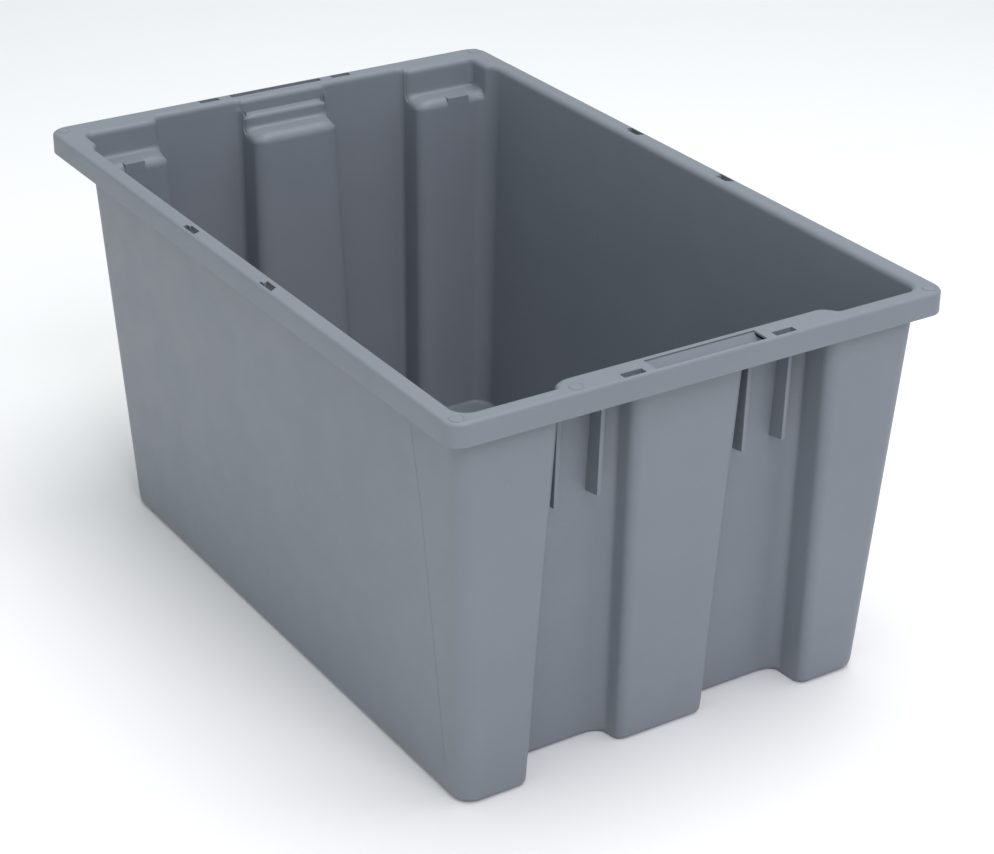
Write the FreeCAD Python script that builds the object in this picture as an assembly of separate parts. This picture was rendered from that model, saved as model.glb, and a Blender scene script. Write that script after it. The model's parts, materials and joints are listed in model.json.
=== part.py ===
import FreeCAD, Part
import math
import os

# Stack-and-nest storage bin, moulded in one piece.
# Millimetres. Z is up, X is the width, Y is the length, the underside rests on Z = 0.
# "Front" is the end at -Y with three feet, "rear" is the end at +Y with two feet.
# The moulding is described here region by region: every region is a solid of its own
# that meets its neighbours face to face.

# ---- overall size ----
LENGTH = 596.9
WIDTH = 393.7
HEIGHT = 304.8

# ---- shell ----
WALL = 3.0
SIDE_OVERHANG = 11.5        # rim edge to wall face, long sides, at the top
END_OVERHANG = 11.0         # the same at the two ends
SIDE_DRAFT = 0.051          # inward lean of the long sides, per mm of height
END_DRAFT = 0.055           # inward lean of the feet columns at both ends
RECESS_DRAFT = 0.060        # inward lean of the recessed panels
RECESS_SETBACK = 28.4       # recessed panel behind the outward face, at the top
POCKET_SETBACK = 9.5        # pocket wall behind the outward face
HANDLE_WALL_SETBACK = 4.0   # rear wall behind the handle, above the small step
CORNER_STEP = 6.0           # long wall stepped in beside the rear corner ledges

# ---- half widths across the ends, at the bottom and at the top ----
FRONT_MIDDLE_HALF = (37.0, 46.5)
FRONT_CORNER_EDGE = (116.5, 106.5)
REAR_MIDDLE_HALF = (42.0, 34.0)
REAR_CORNER_EDGE = (109.0, 117.0)

# ---- heights ----
LEDGE_TOP = 281.5
STEP_TOP = 294.0
RIM_PLATE = 3.0
SKIRT_HEIGHT = 16.5
SKIRT_WALL = 2.5

# ---- radii ----
CORNER_RADIUS = 14.0
REAR_CORNER_RADIUS = 19.0
COLUMN_RADIUS = (6.0, 8.0)
VALLEY_RADIUS = 8.0
POCKET_RADIUS = 5.0
STEP_RADIUS = 4.0
SHARP_RADIUS = 1.0
SIDE_SHARE = 0.45           # largest share of a side that one corner arc may take
RIM_CORNER_RADIUS = 13.0
RIM_EDGE_RADIUS = 2.5
INNER_BEND = 6.0
OUTER_BEND = INNER_BEND - WALL
FOOT_CHAMFER = 1.5

# ---- rim details ----
SLOT_LENGTH = 17.0
SLOT_WIDTH = 6.0
SLOT_EDGE = SKIRT_WALL + SLOT_WIDTH / 2     # rim edge to slot centre line
SIDE_SLOT_Y = 58.0
END_SLOT_X = 60.0
FRONT_HANDLE_HALF = 44.0
REAR_HANDLE_HALF = 41.0
HANDLE_OUTER = 2.5          # rim edge to handle opening
FRONT_HANDLE_INNER = 17.0
REAR_HANDLE_INNER = 8.0
HANDLE_DEPTH = 12.0
HANDLE_SKIN = 2.0

# ---- gusset ribs under the front rim ----
RIB_THICKNESS = 3.0
RIB_POSITIONS = (-98.5, -64.5, 53.5, 87.5)
RIB_BOTTOM = 204.0
RIB_RISE = 2.5              # slope of the rib's lower edge
RIB_FRONT = (266.8, 269.0)  # front edge of the rib, at its bottom and top
RIB_ROOT = WALL / 2         # rib outline carried into the panel before it is trimmed

# ---- where regions are parted ----
END_CUT = 236.0             # side walls end and the end walls begin
CORNER_PIECE = 30.0         # length of a rim corner along each side

# ---- levels that follow from the above ----
RIM_UNDERSIDE = HEIGHT - RIM_PLATE
SKIRT_BOTTOM = HEIGHT - SKIRT_HEIGHT
LEDGE_UNDERSIDE = LEDGE_TOP - WALL
STEP_UNDERSIDE = STEP_TOP - WALL
BEND_START = HEIGHT - INNER_BEND

# ---- cutting ----
FAR = 400.0                 # safely outside the bin
PAST = 1.0                  # how far a cutter runs past a face
BEND_PARTS = 3              # straight facets in the rounded turn from wall to rim
CRUMB_VOLUME = 1.0          # leftovers of a cut smaller than this are dropped


def between(pair, z):
    """A value that changes evenly from the bottom of the bin to the top."""
    return pair[0] + (pair[1] - pair[0]) * z / HEIGHT


def side_face(z):
    return WIDTH / 2 - SIDE_OVERHANG - SIDE_DRAFT * (HEIGHT - z)


def outward_face(z):
    return LENGTH / 2 - END_OVERHANG - END_DRAFT * (HEIGHT - z)


def pocket_face(z):
    return outward_face(z) - POCKET_SETBACK


def recess_face(z):
    return LENGTH / 2 - END_OVERHANG - RECESS_SETBACK - RECESS_DRAFT * (HEIGHT - z)


def mirrored(points):
    """Closes a list of right-hand points with their mirror images across X = 0."""
    return points + [(-x, y, r) for x, y, r in reversed(points)]


def lower_plan(z):
    """Outside plan below the ledges: three front columns and two rear columns."""
    column = between(COLUMN_RADIUS, z)
    front_middle, front_edge = between(FRONT_MIDDLE_HALF, z), between(FRONT_CORNER_EDGE, z)
    rear_middle, rear_edge = between(REAR_MIDDLE_HALF, z), between(REAR_CORNER_EDGE, z)
    side, outward, pocket, recess = side_face(z), outward_face(z), pocket_face(z), recess_face(z)
    return mirrored([
        (front_middle, -pocket, column),
        (front_middle, -recess, VALLEY_RADIUS),
        (front_edge, -recess, VALLEY_RADIUS),
        (front_edge, -outward, column),
        (side, -outward, CORNER_RADIUS),
        (side, recess, REAR_CORNER_RADIUS),
        (rear_edge, recess, VALLEY_RADIUS),
        (rear_edge, outward, column),
        (rear_middle, outward, column),
        (rear_middle, recess, VALLEY_RADIUS),
    ])


def pocket_plan(z):
    """Outside plan between the ledges and the small rear step."""
    return pocket_outline(z, POCKET_SETBACK)


def handle_plan(z):
    """Outside plan above the small rear step, up to the rim."""
    return pocket_outline(z, HANDLE_WALL_SETBACK)


def pocket_outline(z, middle_setback):
    front_edge = between(FRONT_CORNER_EDGE, z)
    rear_middle, rear_edge = between(REAR_MIDDLE_HALF, z), between(REAR_CORNER_EDGE, z)
    side, outward, pocket, recess = side_face(z), outward_face(z), pocket_face(z), recess_face(z)
    middle_radius = min(STEP_RADIUS, middle_setback / 2)
    return mirrored([
        (front_edge, -pocket, STEP_RADIUS),
        (front_edge, -outward, STEP_RADIUS),
        (side, -outward, CORNER_RADIUS),
        (side, recess, STEP_RADIUS),
        (side - CORNER_STEP, recess, SHARP_RADIUS),
        (side - CORNER_STEP, pocket, POCKET_RADIUS),
        (rear_edge, pocket, STEP_RADIUS),
        (rear_edge, outward, STEP_RADIUS),
        (rear_middle, outward, middle_radius),
        (rear_middle, outward - middle_setback, middle_radius),
    ])


def rim_plan(inset):
    """Rounded rectangle of the rim, pulled in by the inset."""
    half_width, half_length = WIDTH / 2 - inset, LENGTH / 2 - inset
    radius = RIM_CORNER_RADIUS - inset
    return [
        (half_width, -half_length, radius),
        (half_width, half_length, radius),
        (-half_width, half_length, radius),
        (-half_width, -half_length, radius),
    ]


def side_direction(start, end):
    """Unit direction of a side that runs along X or along Y."""
    dx, dy = end[0] - start[0], end[1] - start[1]
    return (math.copysign(1, dx), 0) if abs(dx) > abs(dy) else (0, math.copysign(1, dy))


def pulled_in(plan, inset):
    """Moves every side of a square-cornered plan inward and fits its corner radii."""
    count = len(plan)
    moved = []
    for index in range(count):
        x, y, radius = plan[index]
        arriving = side_direction(plan[index - 1], plan[index])
        leaving = side_direction(plan[index], plan[(index + 1) % count])
        outer_corner = arriving[0] * leaving[1] - arriving[1] * leaving[0] > 0
        fitted = radius - inset if outer_corner else radius + inset
        moved_x = x - inset * (arriving[1] + leaving[1])
        moved_y = y + inset * (arriving[0] + leaving[0])
        moved.append((moved_x, moved_y, fitted))
    result = []
    for index in range(count):
        x, y, radius = moved[index]
        before, after = moved[index - 1], moved[(index + 1) % count]
        shortest = min(math.dist((x, y), before[:2]), math.dist((x, y), after[:2]))
        result.append((x, y, min(max(radius, SHARP_RADIUS), SIDE_SHARE * shortest)))
    return result


def rounded_wire(plan, z):
    """A closed wire of straight sides and corner arcs through the plan points."""
    count = len(plan)
    arcs = []
    for index in range(count):
        x, y, radius = plan[index]
        corner = FreeCAD.Vector(x, y, z)
        before = FreeCAD.Vector(plan[index - 1][0], plan[index - 1][1], z) - corner
        after = FreeCAD.Vector(plan[(index + 1) % count][0], plan[(index + 1) % count][1], z) - corner
        before.normalize()
        after.normalize()
        start, end = corner + before * radius, corner + after * radius
        middle = corner + (before + after) * radius * (1 - math.sqrt(0.5))
        arcs.append((start, middle, end))
    edges = []
    for index in range(count):
        edges.append(Part.Arc(*arcs[index]).toShape())
        edges.append(Part.makeLine(arcs[index][2], arcs[(index + 1) % count][0]))
    return Part.Wire(edges)


def tapered(plan_at, z0, z1, inset0=0.0, inset1=None):
    """Solid between the plan at one height and the plan at another."""
    inset1 = inset0 if inset1 is None else inset1
    low = rounded_wire(pulled_in(plan_at(z0), inset0), z0)
    high = rounded_wire(pulled_in(plan_at(z1), inset1), z1)
    return Part.makeLoft([low, high], True, True)


def straight(plan, z0, z1):
    return Part.Face(rounded_wire(plan, z0)).extrude(FreeCAD.Vector(0, 0, z1 - z0))


def block(x0, x1, y0, y1, z0, z1):
    return Part.makeBox(x1 - x0, y1 - y0, z1 - z0, FreeCAD.Vector(x0, y0, z0))


def wedge(x_low, x_high, y0, y1, z0, z1):
    """Cutting block whose X limits lean from one pair to another."""
    def section(limits, z):
        corners = [(limits[0], y0), (limits[1], y0), (limits[1], y1), (limits[0], y1)]
        return Part.makePolygon([FreeCAD.Vector(x, y, z) for x, y in corners + corners[:1]])
    return Part.makeLoft([section(x_low, z0), section(x_high, z1)], True, True)


def bend_levels(radius, top):
    """Heights and outward offsets along the rounded turn from wall to rim."""
    levels = [(BEND_START, 0.0)]
    for part in range(1, BEND_PARTS + 1):
        angle = part / BEND_PARTS * math.pi / 2
        height = BEND_START + radius * math.sin(angle)
        levels.append((min(height, top), radius * (1 - math.cos(angle))))
    return levels


def stacked(pieces):
    solid = pieces[0]
    for piece in pieces[1:]:
        solid = solid.fuse(piece)
    return solid


def outside_envelope():
    """Everything inside the outer faces of the walls, up to the rim underside."""
    pieces = [
        tapered(lower_plan, 0, FOOT_CHAMFER, FOOT_CHAMFER, 0),
        tapered(lower_plan, FOOT_CHAMFER, LEDGE_UNDERSIDE),
        tapered(pocket_plan, LEDGE_UNDERSIDE, STEP_UNDERSIDE),
        tapered(handle_plan, STEP_UNDERSIDE, BEND_START),
    ]
    levels = bend_levels(OUTER_BEND, RIM_UNDERSIDE)
    for (z0, offset0), (z1, offset1) in zip(levels, levels[1:]):
        pieces.append(tapered(handle_plan, z0, z1, -offset0, -offset1))
    return stacked(pieces)


def inside_envelope():
    """The open space inside the bin, with its rounded mouth."""
    pieces = [
        tapered(lower_plan, WALL, LEDGE_TOP, WALL),
        tapered(pocket_plan, LEDGE_TOP, STEP_TOP, WALL),
        tapered(handle_plan, STEP_TOP, BEND_START, WALL),
    ]
    levels = bend_levels(INNER_BEND, HEIGHT)
    for (z0, offset0), (z1, offset1) in zip(levels, levels[1:]):
        pieces.append(tapered(handle_plan, z0, z1, WALL - offset0, WALL - offset1))
    return stacked(pieces)


def rim_slots():
    """Eight rectangular slots, two in every side of the rim."""
    cutters = []
    z0, z1 = BEND_START, HEIGHT + PAST
    for sx in (-1, 1):
        for sy in (-1, 1):
            x = sx * (WIDTH / 2 - SLOT_EDGE)
            y = sy * SIDE_SLOT_Y
            cutters.append(block(x - SLOT_WIDTH / 2, x + SLOT_WIDTH / 2,
                                 y - SLOT_LENGTH / 2, y + SLOT_LENGTH / 2, z0, z1))
            x = sx * END_SLOT_X
            y = sy * (LENGTH / 2 - SLOT_EDGE)
            cutters.append(block(x - SLOT_LENGTH / 2, x + SLOT_LENGTH / 2,
                                 y - SLOT_WIDTH / 2, y + SLOT_WIDTH / 2, z0, z1))
    return cutters


def handle_opening(sign, half, inner):
    """Cutting block of a handle opening; sign is -1 at the front and +1 at the rear."""
    y_out, y_in = sign * (LENGTH / 2 - HANDLE_OUTER), sign * (LENGTH / 2 - inner)
    return block(-half, half, min(y_out, y_in), max(y_out, y_in),
                 RIM_UNDERSIDE - PAST, HEIGHT + PAST)


def handle_pocket(sign, half, inner, wall_shell):
    """Shallow tray under a handle opening, hung between the wall and the skirt."""
    y_out, y_in = LENGTH / 2 - SKIRT_WALL, LENGTH / 2 - inner
    floor = HEIGHT - HANDLE_DEPTH
    outer_half = half + HANDLE_SKIN
    y_back = y_in - HANDLE_SKIN
    tray = block(-outer_half, outer_half, y_back, y_out, floor - HANDLE_SKIN, RIM_UNDERSIDE)
    hollow = block(-half, half, y_in, y_out + PAST, floor, RIM_UNDERSIDE + PAST)
    tray = tray.cut(hollow)
    if sign < 0:
        tray = tray.mirror(FreeCAD.Vector(0, 0, 0), FreeCAD.Vector(0, 1, 0))
    return tray.cut(wall_shell)


def gusset_rib(x):
    """Thin upright rib hanging under the front rim, set against the recessed panel."""
    half = RIB_THICKNESS / 2
    top = LEDGE_UNDERSIDE
    back_low, back_high = -recess_face(RIB_BOTTOM), -recess_face(top)
    corners = [
        (back_low + RIB_ROOT, RIB_BOTTOM),
        (-RIB_FRONT[0], RIB_BOTTOM + RIB_RISE),
        (-RIB_FRONT[1], top),
        (back_high + RIB_ROOT, top),
    ]
    points = [FreeCAD.Vector(x - half, y, z) for y, z in corners + corners[:1]]
    return Part.Face(Part.makePolygon(points)).extrude(FreeCAD.Vector(RIB_THICKNESS, 0, 0))


def tidy(shape):
    """Keeps the solid content of a boolean result and joins split faces."""
    solids = [solid for solid in shape.Solids if solid.Volume > CRUMB_VOLUME]
    result = solids[0] if len(solids) == 1 else Part.makeCompound(solids)
    return result.removeSplitter()


def edges_at(limits, z):
    """X limits of a cut at one height: plain numbers, or a side and the widths it leans between."""
    def one(limit):
        if isinstance(limit, tuple):
            sign, pair = limit
            return sign * between(pair, z)
        return limit
    return one(limits[0]), one(limits[1])


def end_zone(limits, end, z0, z1):
    """Cutter for part of an end wall; end is -1 for the front and +1 for the rear."""
    y0, y1 = (-FAR, -END_CUT) if end < 0 else (END_CUT, FAR)
    return wedge(edges_at(limits, z0), edges_at(limits, z1), y0, y1, z0, z1)


FRONT_LEFT = (-FAR, (-1, FRONT_CORNER_EDGE))
FRONT_LEFT_RECESS = ((-1, FRONT_CORNER_EDGE), (-1, FRONT_MIDDLE_HALF))
FRONT_MIDDLE = ((-1, FRONT_MIDDLE_HALF), (1, FRONT_MIDDLE_HALF))
FRONT_RIGHT_RECESS = ((1, FRONT_MIDDLE_HALF), (1, FRONT_CORNER_EDGE))
FRONT_RIGHT = ((1, FRONT_CORNER_EDGE), FAR)
FRONT_INNER = ((-1, FRONT_CORNER_EDGE), (1, FRONT_CORNER_EDGE))
REAR_LEFT = (-FAR, (-1, REAR_CORNER_EDGE))
REAR_LEFT_FOOT = ((-1, REAR_CORNER_EDGE), (-1, REAR_MIDDLE_HALF))
REAR_MIDDLE = ((-1, REAR_MIDDLE_HALF), (1, REAR_MIDDLE_HALF))
REAR_RIGHT_FOOT = ((1, REAR_MIDDLE_HALF), (1, REAR_CORNER_EDGE))
REAR_RIGHT = ((1, REAR_CORNER_EDGE), FAR)


def wall_regions():
    """Name and cutter of every region of the walls and floor."""
    low, top, ledge_low, ledge_high = WALL, BEND_START, LEDGE_UNDERSIDE, LEDGE_TOP
    return {
        "floor_panel": block(-FAR, FAR, -FAR, FAR, 0, low),
        "left_side_wall": block(-FAR, 0, -END_CUT, END_CUT, low, top),
        "right_side_wall": block(0, FAR, -END_CUT, END_CUT, low, top),
        "front_left_foot_column": end_zone(FRONT_LEFT, -1, low, top),
        "front_middle_foot_column": end_zone(FRONT_MIDDLE, -1, low, ledge_high),
        "front_right_foot_column": end_zone(FRONT_RIGHT, -1, low, top),
        "front_left_recess_panel": end_zone(FRONT_LEFT_RECESS, -1, low, ledge_low),
        "front_right_recess_panel": end_zone(FRONT_RIGHT_RECESS, -1, low, ledge_low),
        "front_left_stacking_ledge": end_zone(FRONT_LEFT_RECESS, -1, ledge_low, ledge_high),
        "front_right_stacking_ledge": end_zone(FRONT_RIGHT_RECESS, -1, ledge_low, ledge_high),
        "front_upper_wall": end_zone(FRONT_INNER, -1, ledge_high, top),
        "rear_left_pilaster": end_zone(REAR_LEFT, 1, low, ledge_low),
        "rear_middle_pilaster": end_zone(REAR_MIDDLE, 1, low, ledge_low),
        "rear_right_pilaster": end_zone(REAR_RIGHT, 1, low, ledge_low),
        "rear_left_stacking_ledge": end_zone(REAR_LEFT, 1, ledge_low, ledge_high),
        "rear_middle_stacking_ledge": end_zone(REAR_MIDDLE, 1, ledge_low, ledge_high),
        "rear_right_stacking_ledge": end_zone(REAR_RIGHT, 1, ledge_low, ledge_high),
        "rear_left_pocket_wall": end_zone(REAR_LEFT, 1, ledge_high, top),
        "rear_middle_pocket_wall": end_zone(REAR_MIDDLE, 1, ledge_high, top),
        "rear_right_pocket_wall": end_zone(REAR_RIGHT, 1, ledge_high, top),
        "rear_left_foot_column": end_zone(REAR_LEFT_FOOT, 1, low, top),
        "rear_right_foot_column": end_zone(REAR_RIGHT_FOOT, 1, low, top),
    }


LEDGE_WALLS = {
    "front_left_stacking_ledge": "front_upper_wall",
    "front_right_stacking_ledge": "front_upper_wall",
    "rear_left_stacking_ledge": "rear_left_pocket_wall",
    "rear_middle_stacking_ledge": "rear_middle_pocket_wall",
    "rear_right_stacking_ledge": "rear_right_pocket_wall",
}


def part_ledges_from_walls(nodes):
    """Leaves each ledge only what lies under open space, and gives the rest to the wall over it."""
    open_area = straight(pulled_in(pocket_plan(LEDGE_TOP), WALL), LEDGE_UNDERSIDE, LEDGE_TOP)
    for ledge, wall in LEDGE_WALLS.items():
        whole = nodes[ledge]
        nodes[ledge] = whole.common(open_area)
        nodes[wall] = nodes[wall].fuse(whole.cut(open_area))


def rim_zones():
    """Name ending and X, Y limits of the eight stretches round the rim."""
    x, y = WIDTH / 2 - CORNER_PIECE, LENGTH / 2 - CORNER_PIECE
    return {
        "front": (-x, x, -FAR, -y),
        "rear": (-x, x, y, FAR),
        "left": (-FAR, -x, -y, y),
        "right": (x, FAR, -y, y),
        "front_left_corner": (-FAR, -x, -FAR, -y),
        "front_right_corner": (x, FAR, -FAR, -y),
        "rear_left_corner": (-FAR, -x, y, FAR),
        "rear_right_corner": (x, FAR, y, FAR),
    }


def rim_flange(shell, inside):
    """Rim from the turn of the wall to its rounded outer edge, with slots and handle openings."""
    plate = straight(rim_plan(0), RIM_UNDERSIDE, HEIGHT)
    upper_edges = [edge for edge in plate.Edges if edge.BoundBox.ZMin > RIM_UNDERSIDE + RIM_PLATE / 2]
    plate = plate.makeFillet(RIM_EDGE_RADIUS, upper_edges).cut(inside)
    turn = shell.common(block(-FAR, FAR, -FAR, FAR, BEND_START, RIM_UNDERSIDE))
    openings = rim_slots()
    openings.append(handle_opening(-1, FRONT_HANDLE_HALF, FRONT_HANDLE_INNER))
    openings.append(handle_opening(1, REAR_HANDLE_HALF, REAR_HANDLE_INNER))
    return plate.fuse(turn).cut(Part.makeCompound(openings))


def rim_skirt():
    outer = straight(rim_plan(0), SKIRT_BOTTOM, RIM_UNDERSIDE)
    return outer.cut(straight(rim_plan(SKIRT_WALL), SKIRT_BOTTOM, RIM_UNDERSIDE))


def build():
    inside = inside_envelope()
    shell = outside_envelope().cut(inside)
    nodes = {}
    for name, cutter in wall_regions().items():
        nodes[name] = shell.common(cutter)
    part_ledges_from_walls(nodes)
    flange, skirt = rim_flange(shell, inside), rim_skirt()
    for name, (x0, x1, y0, y1) in rim_zones().items():
        cutter = block(x0, x1, y0, y1, 0, HEIGHT + PAST)
        if name.endswith("corner"):
            nodes[f"rim_{name}"] = flange.common(cutter).fuse(skirt.common(cutter))
        else:
            nodes[f"{name}_rim_flange"] = flange.common(cutter)
            nodes[f"{name}_rim_skirt"] = skirt.common(cutter)
    nodes["front_handle_pocket"] = handle_pocket(-1, FRONT_HANDLE_HALF, FRONT_HANDLE_INNER, shell)
    nodes["rear_handle_pocket"] = handle_pocket(1, REAR_HANDLE_HALF, REAR_HANDLE_INNER, shell)
    for number, x in enumerate(RIB_POSITIONS, start=1):
        nodes[f"front_gusset_rib_{number}"] = gusset_rib(x).cut(shell)
    return nodes


os.makedirs("parts", exist_ok=True)
for node_name, node_shape in build().items():
    node = tidy(node_shape)
    node.exportStep(f"parts/{node_name}.step")
    print(f"{node_name:32s} solids {len(node.Solids)} valid {node.isValid()} volume {node.Volume:10.0f}")
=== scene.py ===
import json
import math

import bpy
import numpy as np
from mathutils import Matrix, Vector


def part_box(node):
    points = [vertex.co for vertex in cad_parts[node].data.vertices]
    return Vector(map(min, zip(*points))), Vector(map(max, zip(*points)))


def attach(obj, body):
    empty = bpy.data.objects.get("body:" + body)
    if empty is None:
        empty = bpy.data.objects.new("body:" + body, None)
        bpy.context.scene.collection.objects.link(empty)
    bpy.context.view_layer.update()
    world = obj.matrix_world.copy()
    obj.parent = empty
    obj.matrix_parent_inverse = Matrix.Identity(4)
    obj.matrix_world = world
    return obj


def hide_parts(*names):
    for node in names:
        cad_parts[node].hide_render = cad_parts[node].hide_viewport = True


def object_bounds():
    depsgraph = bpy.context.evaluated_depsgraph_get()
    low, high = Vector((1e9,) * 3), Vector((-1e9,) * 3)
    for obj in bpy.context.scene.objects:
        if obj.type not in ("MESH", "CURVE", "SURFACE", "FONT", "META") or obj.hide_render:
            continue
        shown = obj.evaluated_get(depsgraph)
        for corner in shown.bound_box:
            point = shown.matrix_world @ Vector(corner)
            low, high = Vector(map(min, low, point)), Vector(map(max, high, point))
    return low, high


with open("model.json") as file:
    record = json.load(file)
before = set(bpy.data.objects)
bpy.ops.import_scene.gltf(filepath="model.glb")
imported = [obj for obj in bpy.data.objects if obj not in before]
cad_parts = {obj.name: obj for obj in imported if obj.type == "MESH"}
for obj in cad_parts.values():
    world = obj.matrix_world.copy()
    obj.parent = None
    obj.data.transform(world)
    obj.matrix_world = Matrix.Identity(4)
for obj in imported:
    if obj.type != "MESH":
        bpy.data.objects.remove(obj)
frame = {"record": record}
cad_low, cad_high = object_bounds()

# A stack-and-nest storage bin, moulded in one piece. Metres, in the frame of the CAD model:
# X is the width, Y the length, Z up. The front end is at -Y, the rear end at +Y.
#
# The whole moulding is one skin of even thickness. It is described as a grid: samples run round
# the bin and rows run from the floor up the wall, over the rim and down its skirt. Every grid
# point has a place on the inner face of the skin and one on the outer face. The cells of the grid
# are then shared out to the named pieces, each a closed mesh of its own.

MM = 0.001

# ---------------- sizes read from the frame


def low(node):
    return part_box(node)[0]


def high(node):
    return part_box(node)[1]


HALF_WIDTH, HALF_LENGTH, HEIGHT = cad_high.x, cad_high.y, cad_high.z
WALL = high("floor_panel").z
WALL_TOP = high("right_side_wall").z
RIM_UNDERSIDE = high("right_rim_skirt").z
SKIRT_BOTTOM = low("right_rim_skirt").z
SKIRT_WALL = high("right_rim_skirt").x - low("right_rim_skirt").x
LEDGE_TOP = high("rear_middle_stacking_ledge").z
LEDGE_UNDERSIDE = low("rear_middle_stacking_ledge").z
TRAY_SKIN = 2 * MM
FRONT_HANDLE_HALF = high("front_handle_pocket").x - TRAY_SKIN
REAR_HANDLE_HALF = high("rear_handle_pocket").x - TRAY_SKIN
FRONT_HANDLE_INNER = HALF_LENGTH + high("front_handle_pocket").y - TRAY_SKIN
MOUNTS = {mount["name"]: Vector(mount["pos_m"]) for mount in frame["record"]["mounts"]}
SIDE_SLOT_Y = MOUNTS["right_rim_rear_slot"].y
END_SLOT_X = MOUNTS["rear_rim_right_slot"].x


def leaning(z0, value0, z1, value1):
    """A straight line through two measured values, as a function of height."""
    return lambda z: value0 + (value1 - value0) * (z - z0) / (z1 - z0)


side_face = leaning(WALL, high("floor_panel").x, WALL_TOP, high("right_side_wall").x)
outward_face = leaning(WALL, high("floor_panel").y, WALL_TOP, high("rear_right_foot_column").y)
recess_face = leaning(WALL, low("rear_middle_pilaster").y + WALL,
                      LEDGE_UNDERSIDE, low("rear_middle_stacking_ledge").y + WALL)
front_edge = leaning(WALL, high("front_right_recess_panel").x,
                     LEDGE_UNDERSIDE, high("front_right_stacking_ledge").x)
front_middle = leaning(WALL, low("front_right_recess_panel").x,
                       LEDGE_UNDERSIDE, low("front_right_stacking_ledge").x)
rear_edge = leaning(WALL, low("rear_right_pilaster").x,
                    LEDGE_UNDERSIDE, low("rear_right_stacking_ledge").x)
rear_middle = leaning(WALL, high("rear_middle_pilaster").x,
                      LEDGE_UNDERSIDE, high("rear_middle_stacking_ledge").x)
POCKET_SETBACK = outward_face(LEDGE_TOP) - WALL + high("front_upper_wall").y
HANDLE_WALL_SETBACK = 4 * MM    # from the face of the rear columns to the wall at the handle


def pocket_face(z):
    return outward_face(z) - POCKET_SETBACK


def handle_face(z):
    return outward_face(z) - HANDLE_WALL_SETBACK


# ---------------- sizes of the finer shapes

CORNER_STEP = 6 * MM            # from the long side's inner face to the side wall of a rear pocket
STEP_TOP = 293 * MM             # top of the shallow step under the rear handle

CORNER_RADIUS = 14 * MM         # outer face, where the front end meets a long side
COLUMN_RADIUS = (7 * MM, 9 * MM)    # outer face, edge of a foot column, at the bottom and the top
VALLEY_RADIUS = (11 * MM, 8 * MM, 5 * MM)   # inner face, at the floor, at the ledge, above it
LEDGE_FRONT_RADIUS = 8 * MM
LEDGE_BACK_RADIUS = 3 * MM
STEP_FRONT_RADIUS = 4 * MM
STEP_BACK_RADIUS = 1.2 * MM
FOOT_FILLET = 3 * MM
FLANK_LEAN = 1 * MM
VALLEY_SPREAD = 6 * MM          # how much wider than deep the rounding beside a flank is

RIM_BEND = 4.5 * MM             # rounding from the inner face of the wall to the top of the rim
RIM_EDGE = 2.5 * MM             # rounding of the rim's outer edge
RIM_CORNER = 13 * MM
RIM_INNER_CORNER = 15 * MM
SKIRT_FILLET = 1 * MM
SKIRT_LIP = 0.5 * MM
RIM_CURVE = 14 * MM             # length of the soft S in the rim's inner edge

SLOT_LENGTH = 17 * MM
SLOT_WIDTH = 6 * MM
SLOT_INNER = SKIRT_WALL + SLOT_WIDTH
HANDLE_REACH = FRONT_HANDLE_INNER - SLOT_INNER
SPARE_INNER = SLOT_INNER + 0.5 * MM     # the handle's row, where there is no front handle

BEND_START = HEIGHT - RIM_BEND

# ---------------- rows of the grid

ARC_STEPS = 6
FLOOR_ROWS = 1
FILLET_STEPS = 4
WALL_STEPS = 8
SHELF_STEPS = 3
BACK_STEPS = 4
UPPER_STEPS = 2
BEND_STEPS = 6
FLOOR_INSET = 12 * MM           # from the fillet to the innermost row, which crosses itself if too far in
EDGE_STEPS = 4
SPREAD_LOW = LEDGE_TOP - 22 * MM    # between these heights the rows of a plain wall lie as close as
SPREAD_HIGH = LEDGE_TOP + 4 * MM    # those of the ledge beside it
FLOOR_END = FLOOR_ROWS + FILLET_STEPS
LEDGE_START = FLOOR_END + WALL_STEPS
ROUND_END = LEDGE_START + ARC_STEPS


class Row:
    """One row of a zone: a point of the inner face and the step from it to the outer face.

    out and z place the point; step_out and step_z lead to the outer face. turn and drop say how
    the corner beside a ledge is rounded at this height: turned in plan, or dropped over an edge.
    valley is the radius of that rounding."""

    def __init__(self, out, z, step_out, step_z, turn=1.0, drop=0.0, valley=VALLEY_RADIUS[2]):
        self.out, self.z = out, z
        self.step_out, self.step_z = step_out, step_z
        self.turn, self.drop, self.valley = turn, drop, valley

    def point(self, skin):
        return self.out + skin * self.step_out, self.z + skin * self.step_z


def fractions(count):
    return [index / count for index in range(1, count + 1)]


def foot_rows(face, valley):
    """Floor, and the fillet from the floor into the wall."""
    radius = FOOT_FILLET
    start = face(WALL + radius) - WALL
    rows = [Row(start - radius - FLOOR_INSET, WALL, 0, -WALL, valley=valley)]
    rows.append(Row(start - radius, WALL, 0, -WALL, valley=valley))
    for part in fractions(FILLET_STEPS):
        angle = part * math.pi / 2
        rows.append(Row(start - radius + radius * math.sin(angle), WALL + radius * (1 - math.cos(angle)),
                        WALL * math.sin(angle), -WALL * math.cos(angle), valley=valley))
    return rows


def by_height(pair, z):
    return pair[0] + (pair[1] - pair[0]) * z / HEIGHT


def straight_rows(face, z0, z1, steps, valley0, valley1):
    rows = []
    for part in fractions(steps):
        z = z0 + (z1 - z0) * part
        rows.append(Row(face(z) - WALL, z, WALL, 0, valley=valley0 + (valley1 - valley0) * part))
    return rows


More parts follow.
